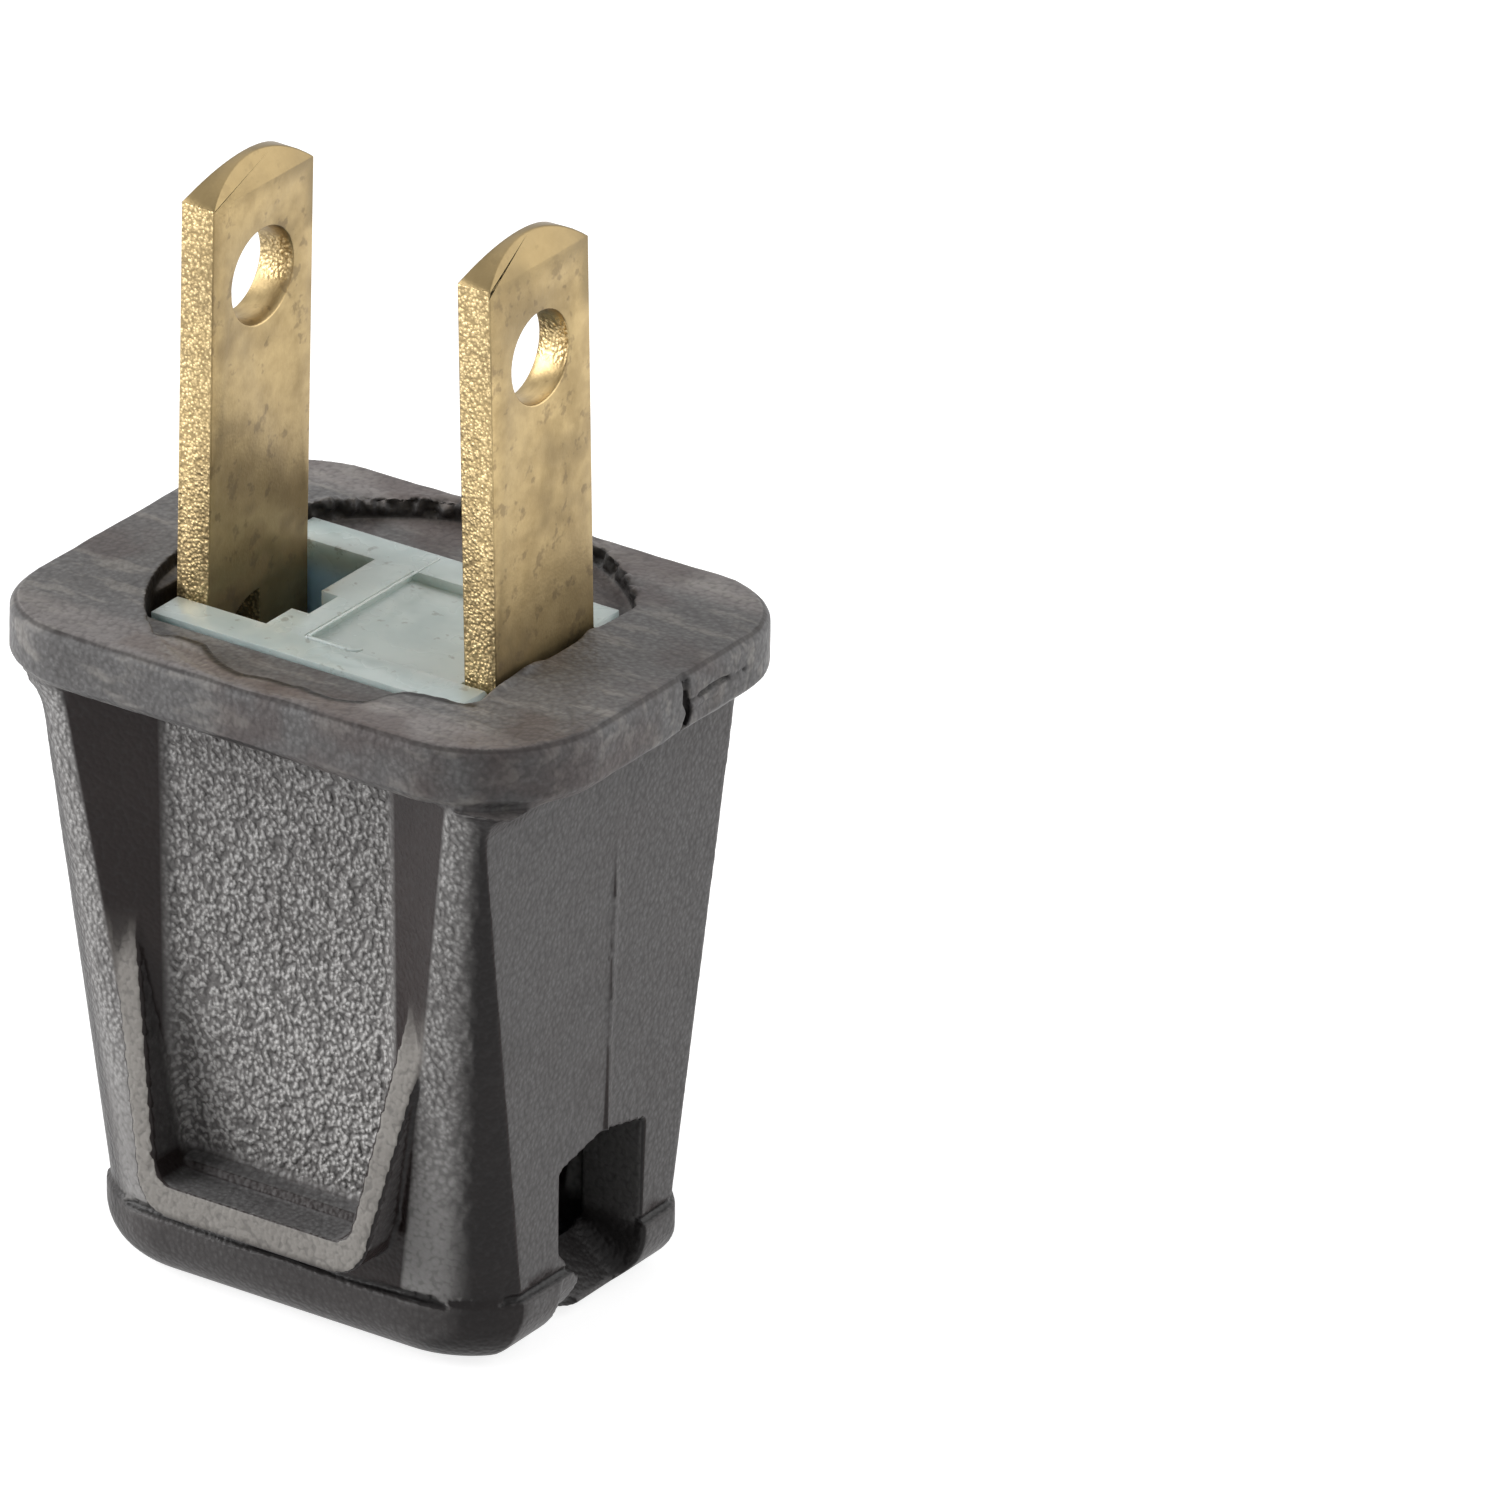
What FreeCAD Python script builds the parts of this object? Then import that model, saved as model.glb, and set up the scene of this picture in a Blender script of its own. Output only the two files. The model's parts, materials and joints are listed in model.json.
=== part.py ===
import FreeCAD, Part
import math
import os
from FreeCAD import Vector

# A two-blade flat-cord plug that needs no screws, all sizes in millimetres.
# The row stands on its closed end: +Z runs along the blades, +X runs from the
# left blade to the right blade and towards the cord window, -Y is a thumb grip.

os.makedirs("parts", exist_ok=True)

# Casing, outer form
casing_height = 27.5
flange_length = 25.6
flange_width = 19.04
# the corners at -X -Y and +X +Y are tighter than the other two
flange_corner = 4.1
flange_blunt_corner = 5.4
flange_thickness = 2.6
flange_top_bevel = 0.3
flange_under_bevel = 0.5
# a hollow curve leads from the body out to the underside of the flange
cove_height = 1.7
cove_reach = 1.5
cove_side_reach = 0.25
cove_steps = 5
# half sizes of the tapered body under the flange
body_top_x = 10.3
body_top_y = 8.93
body_top_flat = 8.62
body_top_ridge = 9.06
# half sizes of the tapered body at the mould seam
body_low_x = 9.62
body_low_y = 7.15
body_low_flat = 4.9
body_low_ridge = 5.6
# the end cap below the mould seam stands a little proud of the body
cap_height = 2.85
cap_proud = 0.2
cap_round = 2.0
# the low edge is rounder on the side of the cord window, and most at its slant
cap_exit_round = 2.5
cap_slant_round = 3.4
cap_slant_width = 2.3

# Thumb scoop on both wide sides
scoop_top_half = 5.1
scoop_top_y = 7.2
scoop_low_half = 4.4
scoop_low_y = 6.5
shelf_drop = 21.6
shelf_slope = 0.19

# Raised rim of the scoop, a U whose face leans out towards the closed end
rim_start_drop = 11.0
rim_inner_top = 6.53
rim_inner_low = 4.45
rim_outer_top = 7.85
rim_outer_low = 5.1
rim_inner_drop = 22.1
rim_outer_drop = 23.4
rim_inner_corner = 1.0
rim_outer_corner = 1.6
rim_face_y = 8.05
rim_face_drop = 15.0
rim_face_lean = 0.137

# Mouth, pocket and cord chamber; the mouth is round apart from a straight
# side along the right blade, and its ledge is deeper on the +Y side
mouth_radius = 9.2
mouth_back_depth = 0.87
mouth_front_depth = 0.6
pocket_left = 8.4
pocket_right = 7.7
chamber_half_x = 6.8
chamber_half_y = 3.6
end_wall = 1.3

# Cord window in the +X side
window_width = 5.4
window_offset = 0.2
window_top_drop = 19.5
window_gable = 0.6
window_low_drop = 25.1
# the near lower corner of the window is cut off at a slant
window_slant_width = 1.2
window_slant_rise = 1.45
# a rounded channel leads down from the window through the cap
channel_start_x = 6.6
channel_low = 2.35
channel_width_out = 4.0
channel_height = 4.4
channel_round = 1.1
channel_angle = 38.0

# Core
core_half_y = 5.2
core_top_half_x = 7.3
core_low_half_x = 7.7
core_offset = -0.22
core_top_drop = 0.45
core_length = 19.45
core_gap = 0.15
core_corner_gap = 0.4
rail_thickness = 1.7
block_half_x = 3.0
plate_half_x = 5.5
plate_step = 0.4
plate_thickness = 1.35
rib_x = -1.23
ledge_length = 2.3
ledge_width = 0.3
ledge_rise = 0.22
rail_chamfer = 0.2
cord_thickness = 3.3
cord_width = 6.0
cord_lead = 0.7
notch_floor_x = 2.2
slot_low_drop = 8.3
slot_high_drop = 3.0
slot_gap = 0.1

# Blades
blade_width = 6.35
blade_thickness = 1.5
blade_spacing = 13.28
blade_length = 16.87
blade_toe_in = 1.2
bend_drop = 0.8
tip_rise = 1.17
tip_land = 0.38
hole_height = 11.92
hole_radius = 1.84
hole_break_radius = 1.96
hole_break_depth = 0.5

# Shank, tooth and trunnions
pivot_drop = 12.0
shank_below_pivot = 1.3
trunnion_radius = 0.6
trunnion_length = 1.4
trunnion_gap = 0.05
trunnion_end_gap = 0.12
snap_neck = 0.95
tooth_width = 1.7
tooth_offset = 0.9
tooth_drop = 7.0
tooth_tip_x = 0.45
tooth_thickness = 1.2
tooth_slope = 2.6
lance_gap = 0.15
lance_top_drop = 1.15

face_z = casing_height
seam_z = cap_height
core_low_z = face_z - core_top_drop - core_length
core_top_z = face_z - core_top_drop
pocket_half_y = core_half_y + core_gap
core_radius = mouth_radius - core_corner_gap
slot_half_y = core_half_y - rail_thickness
pivot_z = face_z - pivot_drop
shank_x = blade_spacing / 2 + bend_drop * math.tan(math.radians(blade_toe_in))


def box(x0, y0, z0, x1, y1, z1):
    return Part.makeBox(x1 - x0, y1 - y0, z1 - z0, Vector(x0, y0, z0))


def prism(points, direction):
    wire = Part.makePolygon(points + [points[0]])
    return Part.Face(wire).extrude(direction)


def rounded_rectangle(half_x, half_y, blunt, tight, z):
    # the blunt radius is for the corners at +X -Y and -X +Y
    edges = []
    corners = [(1, -1, blunt), (1, 1, tight), (-1, 1, blunt), (-1, -1, tight)]
    ends = []
    for sx, sy, r in corners:
        cx = half_x - r
        cy = half_y - r
        d = r * math.sqrt(0.5)
        along_x = Vector(sx * cx, sy * half_y, z)
        along_y = Vector(sx * half_x, sy * cy, z)
        middle = Vector(sx * (cx + d), sy * (cy + d), z)
        if sx * sy < 0:
            ends.append((along_x, middle, along_y))
        else:
            ends.append((along_y, middle, along_x))
    for i in range(4):
        start, middle, end = ends[i]
        edges.append(Part.Arc(start, middle, end).toShape())
        edges.append(Part.LineSegment(end, ends[(i + 1) % 4][0]).toShape())
    return Part.Wire(edges)


def body_section(half_x, half_y, flat, ridge, z):
    # each corner is an arc that leaves the wide side tangentially and meets
    # the flat of the narrow side at a soft crease
    dx = half_x - ridge
    dy = half_y - flat
    r = (dx * dx + dy * dy) / (2 * dy)
    turn = math.asin(dx / r) / 2
    mx = ridge + r * math.sin(turn)
    my = half_y - r + r * math.cos(turn)
    sides = [(1, -1), (1, 1), (-1, 1), (-1, -1)]
    ends = []
    for sx, sy in sides:
        on_wide = Vector(sx * ridge, sy * half_y, z)
        on_flat = Vector(sx * half_x, sy * flat, z)
        middle = Vector(sx * mx, sy * my, z)
        if sx * sy < 0:
            ends.append((on_wide, middle, on_flat))
        else:
            ends.append((on_flat, middle, on_wide))
    edges = []
    for i in range(4):
        start, middle, end = ends[i]
        edges.append(Part.Arc(start, middle, end).toShape())
        edges.append(Part.LineSegment(end, ends[(i + 1) % 4][0]).toShape())
    return Part.Wire(edges)


def edges_at(shape, z):
    found = []
    for edge in shape.Edges:
        b = edge.BoundBox
        if abs(b.ZMin - z) < 1e-6 and abs(b.ZMax - z) < 1e-6:
            found.append(edge)
    return found


def make_flange():
    low = face_z - flange_thickness
    outline = rounded_rectangle(flange_length / 2, flange_width / 2,
                                flange_blunt_corner, flange_corner, low)
    plate = Part.Face(outline).extrude(Vector(0, 0, flange_thickness))
    plate = plate.makeChamfer(flange_top_bevel, edges_at(plate, face_z))
    return plate.makeChamfer(flange_under_bevel, edges_at(plate, low))


def between(top, low, drop):
    start = flange_thickness / 2
    span = face_z - seam_z - start
    return top + (low - top) * (drop - start) / span


def taper_section(drop, reach, side_reach):
    # the outline of the body at a depth below the face, moved out by the reaches
    return body_section(between(body_top_x, body_low_x, drop) + reach,
                        between(body_top_y, body_low_y, drop) + side_reach,
                        between(body_top_flat, body_low_flat, drop),
                        between(body_top_ridge, body_low_ridge, drop), face_z - drop)


def make_taper():
    top = taper_section(flange_thickness / 2, 0, 0)
    low = taper_section(face_z - seam_z, 0, 0)
    return Part.makeLoft([top, low], True, True)


def make_cove():
    # a quarter of an ellipse, steep on the body and level under the flange
    sections = []
    for step in range(cove_steps + 1):
        turn = math.pi / 2 * step / cove_steps
        out = 1 - math.cos(turn)
        drop = flange_thickness + cove_height * (1 - math.sin(turn))
        sections.append(taper_section(drop, cove_reach * out, cove_side_reach * out))
    return Part.makeLoft(sections, True, True)


def make_cap():
    outline = body_section(body_low_x + cap_proud, body_low_y + cap_proud,
                           body_low_flat, body_low_ridge, 0)
    cap = Part.Face(outline).extrude(Vector(0, 0, cap_height))
    return cap.makeFillet(cap_round, edges_at(cap, 0))


def make_low_rounding(r, y0, y1):
    # what a rounding takes off the low edge on the side of the cord window
    side = body_low_x + cap_proud
    corner = box(side - r, y0, -1, side + 2, y1, r)
    barrel = Part.makeCylinder(r, y1 - y0, Vector(side - r, y0, r), Vector(0, 1, 0))
    return corner.cut(barrel)


def scoop_section(half, floor_y, ridge_x, ridge_y, z):
    # a flat floor with two facets that rise through the ridges of the body
    reach = 3.0 / (ridge_y - floor_y)
    out_x = ridge_x + (ridge_x - half) * reach
    out_y = ridge_y + 3.0
    points = [
        Vector(-half, -floor_y, z),
        Vector(half, -floor_y, z),
        Vector(out_x, -out_y, z),
        Vector(-out_x, -out_y, z),
    ]
    return Part.makePolygon(points + [points[0]])


def make_scoop():
    top_drop = flange_thickness
    low_drop = shelf_drop + 2.0
    top = scoop_section(scoop_top_half, scoop_top_y,
                        between(body_top_ridge, body_low_ridge, top_drop),
                        between(body_top_y, body_low_y, top_drop), face_z - top_drop)
    low = scoop_section(scoop_low_half, scoop_low_y,
                        between(body_top_ridge, body_low_ridge, low_drop),
                        between(body_top_y, body_low_y, low_drop), face_z - low_drop)
    scoop = Part.makeLoft([top, low], True, True)
    shelf_z = face_z - shelf_drop
    far = scoop_low_y + 6.0
    shelf = prism([
        Vector(-12, -scoop_low_y + 3.0, shelf_z + 3.0 * shelf_slope),
        Vector(-12, -far, shelf_z - (far - scoop_low_y) * shelf_slope),
        Vector(-12, -far, face_z),
        Vector(-12, -scoop_low_y + 3.0, face_z),
    ], Vector(24, 0, 0))
    return scoop.common(shelf)


def u_outline(top_half, low_half, low_drop, corner):
    # the corner arcs are tangent to the leaning sides and to the flat bottom
    top_z = face_z - rim_start_drop
    low_z = face_z - low_drop
    lean = math.atan2(top_half - low_half, top_z - low_z)
    turn = math.pi / 2 - lean
    back = corner * math.tan(turn / 2)
    a = Vector(low_half - back, 0, low_z)
    c = Vector(low_half + back * math.sin(lean), 0, low_z + back * math.cos(lean))
    middle_x = a.x + corner * math.sin(turn / 2)
    middle_z = low_z + corner * (1 - math.cos(turn / 2))
    b = Vector(middle_x, 0, middle_z)
    top = Vector(top_half, 0, top_z)
    mirror = [Vector(-p.x, 0, p.z) for p in (a, b, c, top)]
    edges = [
        Part.LineSegment(top, c).toShape(),
        Part.Arc(c, b, a).toShape(),
        Part.LineSegment(a, mirror[0]).toShape(),
        Part.Arc(mirror[0], mirror[1], mirror[2]).toShape(),
        Part.LineSegment(mirror[2], mirror[3]).toShape(),
        Part.LineSegment(mirror[3], top).toShape(),
    ]
    return Part.Wire(edges)


def make_rim():
    outer = u_outline(rim_outer_top, rim_outer_low, rim_outer_drop, rim_outer_corner)
    inner = u_outline(rim_inner_top, rim_inner_low, rim_inner_drop, rim_inner_corner)
    rim = Part.Face(outer).extrude(Vector(0, -12, 0))
    rim = rim.cut(Part.Face(inner).extrude(Vector(0, -12, 0)))
    top_z = face_z - rim_start_drop
    low_z = face_z - rim_outer_drop - 1.0
    face_top = rim_face_y + (rim_start_drop - rim_face_drop) * rim_face_lean
    face_low = rim_face_y + (rim_outer_drop + 1.0 - rim_face_drop) * rim_face_lean
    side = prism([
        Vector(-12, -scoop_low_y + 0.4, low_z),
        Vector(-12, -face_low, low_z),
        Vector(-12, -face_top, top_z),
        Vector(-12, -scoop_low_y + 0.4, top_z),
    ], Vector(24, 0, 0))
    return rim.common(side)


def both_sides(shape):
    turned = shape.copy()
    turned.rotate(Vector(0, 0, 0), Vector(0, 0, 1), 180)
    return [shape, turned]


def make_pocket():
    top = face_z + 1.0
    barrel = Part.makeCylinder(mouth_radius, top - core_low_z, Vector(0, 0, core_low_z))
    slab = box(-pocket_left, -pocket_half_y, core_low_z, pocket_right, pocket_half_y, top)
    back = box(-mouth_radius, 0, face_z - mouth_back_depth, pocket_right, mouth_radius, top)
    front = box(-mouth_radius, -mouth_radius, face_z - mouth_front_depth, pocket_right, 0, top)
    return barrel.common(slab.fuse(back).fuse(front))


def make_window():
    y0 = window_offset - window_width / 2
    y1 = window_offset + window_width / 2
    top = face_z - window_top_drop
    low = face_z - window_low_drop
    shoulder = top - window_gable
    start = chamber_half_x - 1.0
    slant_z = low + window_slant_rise
    window = prism([
        Vector(start, y0 + window_slant_width, low),
        Vector(start, y1, low),
        Vector(start, y1, shoulder),
        Vector(start, window_offset, top),
        Vector(start, y0, shoulder),
        Vector(start, y0, slant_z),
    ], Vector(flange_length, 0, 0))
    return window.fuse(make_exit_channel(y1 - channel_width_out, y1))


def make_exit_channel(y0, y1):
    # a trough with rounded low corners, swept down and out along its slope
    r = channel_round
    d = r * (1 - math.sqrt(0.5))
    x = channel_start_x
    z = channel_low
    top = z + channel_height
    edges = [
        Part.LineSegment(Vector(x, y0, top), Vector(x, y0, z + r)).toShape(),
        Part.Arc(Vector(x, y0, z + r), Vector(x, y0 + d, z + d), Vector(x, y0 + r, z)).toShape(),
        Part.LineSegment(Vector(x, y0 + r, z), Vector(x, y1 - r, z)).toShape(),
        Part.Arc(Vector(x, y1 - r, z), Vector(x, y1 - d, z + d), Vector(x, y1, z + r)).toShape(),
        Part.LineSegment(Vector(x, y1, z + r), Vector(x, y1, top)).toShape(),
        Part.LineSegment(Vector(x, y1, top), Vector(x, y0, top)).toShape(),
    ]
    slope = math.radians(channel_angle)
    along = Vector(math.cos(slope), 0, -math.sin(slope))
    return Part.Face(Part.Wire(edges)).extrude(along * 6.0)


def make_casing():
    casing = make_taper().fuse(make_cove()).fuse(make_cap())
    for scoop in both_sides(make_scoop()):
        casing = casing.cut(scoop)
    for rim in both_sides(make_rim()):
        casing = casing.fuse(rim)
    casing = casing.fuse(make_flange())
    chamber = box(-chamber_half_x, -chamber_half_y, end_wall,
                  chamber_half_x, chamber_half_y, core_low_z + 0.5)
    casing = casing.cut(make_pocket())
    casing = casing.cut(chamber)
    slant_y = window_offset - window_width / 2
    casing = casing.cut(make_low_rounding(cap_exit_round, -flange_width, flange_width))
    casing = casing.cut(make_low_rounding(cap_slant_round, slant_y, slant_y + cap_slant_width))
    casing = casing.cut(make_window())
    return casing.removeSplitter()


def make_core():
    outline = prism([
        Vector(-core_low_half_x, -core_half_y, core_low_z),
        Vector(core_low_half_x, -core_half_y, core_low_z),
        Vector(core_top_half_x, -core_half_y, core_top_z),
        Vector(-core_top_half_x, -core_half_y, core_top_z),
    ], Vector(0, 2 * core_half_y, 0))
    barrel = Part.makeCylinder(core_radius, core_length, Vector(0, 0, core_low_z))
    core = outline.common(barrel)
    core = core.cut(make_rail_chamfers())
    y = slot_half_y
    plate_z = core_top_z - plate_step
    under_z = plate_z - plate_thickness
    core = core.cut(box(-12, -y, core_low_z - 1, -block_half_x, y, face_z))
    core = core.cut(box(block_half_x, -y, core_low_z - 1, 12, y, under_z))
    core = core.cut(box(plate_half_x, -y, under_z - 1, 12, y, face_z))
    core = core.cut(box(rib_x, -y, plate_z, 12, y, face_z))
    core = core.fuse(box(rib_x, -y, plate_z, rib_x + ledge_length, -y + ledge_width,
                         plate_z + ledge_rise))
    core = core.cut(make_channel(under_z))
    core = core.cut(make_tooth_slots(under_z))
    core = core.cut(make_sockets())
    return core.removeSplitter()


def make_rail_chamfers():
    c = rail_chamfer
    cut = None
    for sx in (-1, 1):
        wedge = prism([
            Vector(sx * (core_top_half_x - c), -core_half_y - 1, core_top_z + 0.01),
            Vector(sx * (core_top_half_x + 1), -core_half_y - 1, core_top_z + 0.01),
            Vector(sx * (core_top_half_x + 1), -core_half_y - 1, core_top_z - c - 1),
        ], Vector(0, 2 * core_half_y + 2, 0))
        cut = wedge if cut is None else cut.fuse(wedge)
    return cut


def make_channel(roof_z):
    # room for the end of a flat cord, with a flared way in from below
    tx = cord_thickness / 2
    ty = cord_width / 2
    channel = box(-tx, -ty, core_low_z - 1, tx, ty, roof_z)
    wide = Part.makePolygon([
        Vector(-tx - cord_lead, -ty, core_low_z),
        Vector(tx + cord_lead, -ty, core_low_z),
        Vector(tx, -ty, core_low_z + cord_lead),
        Vector(-tx, -ty, core_low_z + cord_lead),
        Vector(-tx - cord_lead, -ty, core_low_z),
    ])
    flare = Part.Face(wide).extrude(Vector(0, 2 * ty, 0))
    return channel.fuse(flare)


def make_tooth_slots(roof_z):
    # the teeth lie beside each other, one for each wire of the cord
    half = tooth_width / 2 + slot_gap
    low = face_z - slot_low_drop
    y0 = -tooth_offset - half
    y1 = -tooth_offset + half
    notch = box(-block_half_x - 1, y0, low, -notch_floor_x, y1, face_z)
    through = box(-block_half_x - 1, y0, low, -cord_thickness / 2 + 0.3, y1,
                  face_z - slot_high_drop)
    other = through.copy()
    other.rotate(Vector(0, 0, 0), Vector(0, 0, 1), 180)
    return notch.fuse(through).fuse(other)


def make_sockets():
    r = trunnion_radius + trunnion_gap
    depth = blade_width / 2 + trunnion_length + trunnion_end_gap - slot_half_y
    cut = None
    for sx in (-1, 1):
        for sy in (-1, 1):
            start = Vector(sx * shank_x, sy * (slot_half_y - 0.2), pivot_z)
            hole = Part.makeCylinder(r, depth + 0.2, start, Vector(0, sy, 0))
            y0 = slot_half_y - 0.2
            y1 = slot_half_y + depth
            neck = box(shank_x, y0, pivot_z - snap_neck / 2, 12, y1, pivot_z + snap_neck / 2)
            if sy < 0:
                neck = neck.mirror(Vector(0, 0, 0), Vector(0, 1, 0))
            if sx < 0:
                neck = neck.mirror(Vector(0, 0, 0), Vector(1, 0, 0))
            hole = hole.fuse(neck)
            cut = hole if cut is None else cut.fuse(hole)
    return cut


def make_tongue():
    # the exposed blade stands on the bend line, centred on X = 0
    half = blade_width / 2
    t = blade_thickness / 2
    peak = blade_length + bend_drop
    shoulder = peak - tip_rise
    left = Vector(0, -half, shoulder)
    right = Vector(0, half, shoulder)
    outline = Part.Wire([
        Part.LineSegment(Vector(0, -half, 0), Vector(0, half, 0)).toShape(),
        Part.LineSegment(Vector(0, half, 0), right).toShape(),
        Part.Arc(right, Vector(0, 0, peak), left).toShape(),
        Part.LineSegment(left, Vector(0, -half, 0)).toShape(),
    ])
    outline.translate(Vector(-t, 0, 0))
    tongue = Part.Face(outline).extrude(Vector(blade_thickness, 0, 0))
    land = tip_land / 2
    section = prism([
        Vector(-t, -half - 1, -1),
        Vector(t, -half - 1, -1),
        Vector(t, -half - 1, shoulder),
        Vector(land, -half - 1, peak),
        Vector(-land, -half - 1, peak),
        Vector(-t, -half - 1, shoulder),
    ], Vector(0, blade_width + 2, 0))
    tongue = tongue.common(section)
    z = hole_height + bend_drop
    hole = Part.makeCylinder(hole_radius, 4, Vector(-2, 0, z), Vector(1, 0, 0))
    # the punch tears the last part of the hole out to a cone
    tear = Part.makeCone(hole_radius, hole_break_radius, hole_break_depth,
                         Vector(t - hole_break_depth, 0, z), Vector(1, 0, 0))
    return tongue.cut(hole.fuse(tear))


def make_shank():
    # below the bend the strip stands upright; its foot is rounded for the swing
    half = blade_width / 2
    t = blade_thickness / 2
    low = pivot_z - shank_below_pivot
    bend_z = face_z - bend_drop
    lean = math.radians(blade_toe_in)
    miter = t * math.tan(lean / 2)
    up_x = math.sin(lean)
    up_z = math.cos(lean)
    foot = 0.4
    points = [
        Vector(-shank_x - t + foot, -half, low),
        Vector(-shank_x + t - foot, -half, low),
        Vector(-shank_x + t, -half, low + foot),
        Vector(-shank_x + t, -half, bend_z - miter),
        Vector(-shank_x + t * up_z + up_x, -half, bend_z - t * up_x + up_z),
        Vector(-shank_x - t * up_z + up_x, -half, bend_z + t * up_x + up_z),
        Vector(-shank_x - t, -half, bend_z + miter),
        Vector(-shank_x - t, -half, low + foot),
    ]
    return prism(points, Vector(0, blade_width, 0))


def make_lance_hole():
    # the opening that the bent-in tooth leaves in the shank
    y0 = -tooth_offset - tooth_width / 2 - lance_gap
    y1 = -tooth_offset + tooth_width / 2 + lance_gap
    low = face_z - tooth_drop
    top = face_z - lance_top_drop
    x = -shank_x - blade_thickness
    start = Vector(x, y0, top - 1.0)
    middle = Vector(x, y0 + (y1 - y0) * 0.42, top - 0.25)
    end = Vector(x, y1, top)
    edges = [
        Part.LineSegment(Vector(x, y0, low), start).toShape(),
        Part.Arc(start, middle, end).toShape(),
        Part.LineSegment(end, Vector(x, y1, low)).toShape(),
        Part.LineSegment(Vector(x, y1, low), Vector(x, y0, low)).toShape(),
    ]
    return Part.Face(Part.Wire(edges)).extrude(Vector(2 * blade_thickness, 0, 0))


def make_tooth():
    # a slanted spike that runs through the cord's cover to one of its wires
    root_x = -shank_x - blade_thickness / 2
    tip_x = -tooth_tip_x
    y0 = -tooth_offset - tooth_width / 2
    y1 = -tooth_offset + tooth_width / 2
    z0 = face_z - tooth_drop - tooth_thickness
    spike = prism([
        Vector(root_x, y0, z0),
        Vector(tip_x - tooth_slope, y0, z0),
        Vector(tip_x, y1 - 0.25, z0),
        Vector(tip_x, y1, z0),
        Vector(root_x, y1, z0),
    ], Vector(0, 0, tooth_thickness))
    side = prism([
        Vector(root_x, y0 - 1, z0),
        Vector(tip_x - 0.9, y0 - 1, z0),
        Vector(tip_x, y0 - 1, z0 + tooth_thickness * 0.4),
        Vector(tip_x, y0 - 1, z0 + tooth_thickness * 0.6),
        Vector(tip_x - 0.9, y0 - 1, z0 + tooth_thickness),
        Vector(root_x, y0 - 1, z0 + tooth_thickness),
    ], Vector(0, tooth_width + 2, 0))
    return spike.common(side)


def make_blade():
    tongue = make_tongue()
    tongue.rotate(Vector(0, 0, 0), Vector(0, 1, 0), blade_toe_in)
    tongue.translate(Vector(-shank_x, 0, face_z - bend_drop))
    blade = tongue.fuse(make_shank())
    blade = blade.cut(make_lance_hole())
    blade = blade.fuse(make_tooth())
    for sy in (-1, 1):
        start = Vector(-shank_x, sy * (blade_width / 2 - 0.5), pivot_z)
        trunnion = Part.makeCylinder(trunnion_radius, trunnion_length + 0.5, start,
                                     Vector(0, sy, 0))
        blade = blade.fuse(trunnion)
    return blade.removeSplitter()


def main():
    left_blade = make_blade()
    right_blade = left_blade.copy()
    right_blade.rotate(Vector(0, 0, 0), Vector(0, 0, 1), 180)
    core = make_core()
    # the core and its blades stand a little to the left in the pocket
    for shape in (core, left_blade, right_blade):
        shape.translate(Vector(core_offset, 0, 0))
    nodes = {
        "casing": make_casing(),
        "core": core,
        "left_blade": left_blade,
        "right_blade": right_blade,
    }
    for name, shape in nodes.items():
        solid = shape.Solids[0] if len(shape.Solids) == 1 else shape
        solid.exportStep("parts/" + name + ".step")
        b = solid.BoundBox
        print(name, "solids", len(shape.Solids), "valid", shape.isValid(),
              "volume", round(shape.Volume, 1), "faces", len(shape.Faces),
              "X %.2f..%.2f" % (b.XMin, b.XMax), "Y %.2f..%.2f" % (b.YMin, b.YMax),
              "Z %.2f..%.2f" % (b.ZMin, b.ZMax))


main()
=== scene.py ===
# %% [markdown]
# # A two-blade plug that bites into its flat cord
# The real object is a small plug of soft moulded plastic. A pale nylon core
# carries two flat brass blades, and the whole core pulls out of the casing to
# take a cord. The CAD model already gives every part its true size and place,
# so this lesson loads that model first and never moves it. Everything here is
# in metres, as the model is. The finished plug may not be bigger.

# %% Load the model
import bpy
import json
import math
import numpy as np
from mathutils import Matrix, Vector

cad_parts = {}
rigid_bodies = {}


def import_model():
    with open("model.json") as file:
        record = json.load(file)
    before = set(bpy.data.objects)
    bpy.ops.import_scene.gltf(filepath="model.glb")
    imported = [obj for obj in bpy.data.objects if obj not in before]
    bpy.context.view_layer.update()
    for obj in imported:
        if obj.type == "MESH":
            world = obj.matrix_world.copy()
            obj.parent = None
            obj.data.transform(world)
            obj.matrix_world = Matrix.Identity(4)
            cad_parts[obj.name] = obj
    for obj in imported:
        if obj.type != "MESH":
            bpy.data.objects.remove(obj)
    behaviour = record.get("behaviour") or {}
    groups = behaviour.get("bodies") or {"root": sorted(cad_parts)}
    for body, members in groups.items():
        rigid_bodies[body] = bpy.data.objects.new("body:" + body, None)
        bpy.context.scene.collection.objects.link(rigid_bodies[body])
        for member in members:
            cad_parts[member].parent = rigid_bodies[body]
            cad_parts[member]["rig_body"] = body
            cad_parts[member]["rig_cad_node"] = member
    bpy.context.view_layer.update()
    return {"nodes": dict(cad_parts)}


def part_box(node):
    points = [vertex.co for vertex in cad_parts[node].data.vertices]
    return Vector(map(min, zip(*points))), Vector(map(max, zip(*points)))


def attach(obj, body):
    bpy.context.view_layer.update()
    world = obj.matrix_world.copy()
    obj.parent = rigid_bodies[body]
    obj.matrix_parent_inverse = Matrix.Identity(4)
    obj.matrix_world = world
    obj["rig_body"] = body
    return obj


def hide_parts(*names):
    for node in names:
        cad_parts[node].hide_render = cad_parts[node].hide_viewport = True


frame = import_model()
bpy.context.scene.view_settings.view_transform = "Standard"
mm = 0.001
face_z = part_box("casing")[1].z
print("the face of the plug lies", round(face_z / mm, 2), "mm up")

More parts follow.
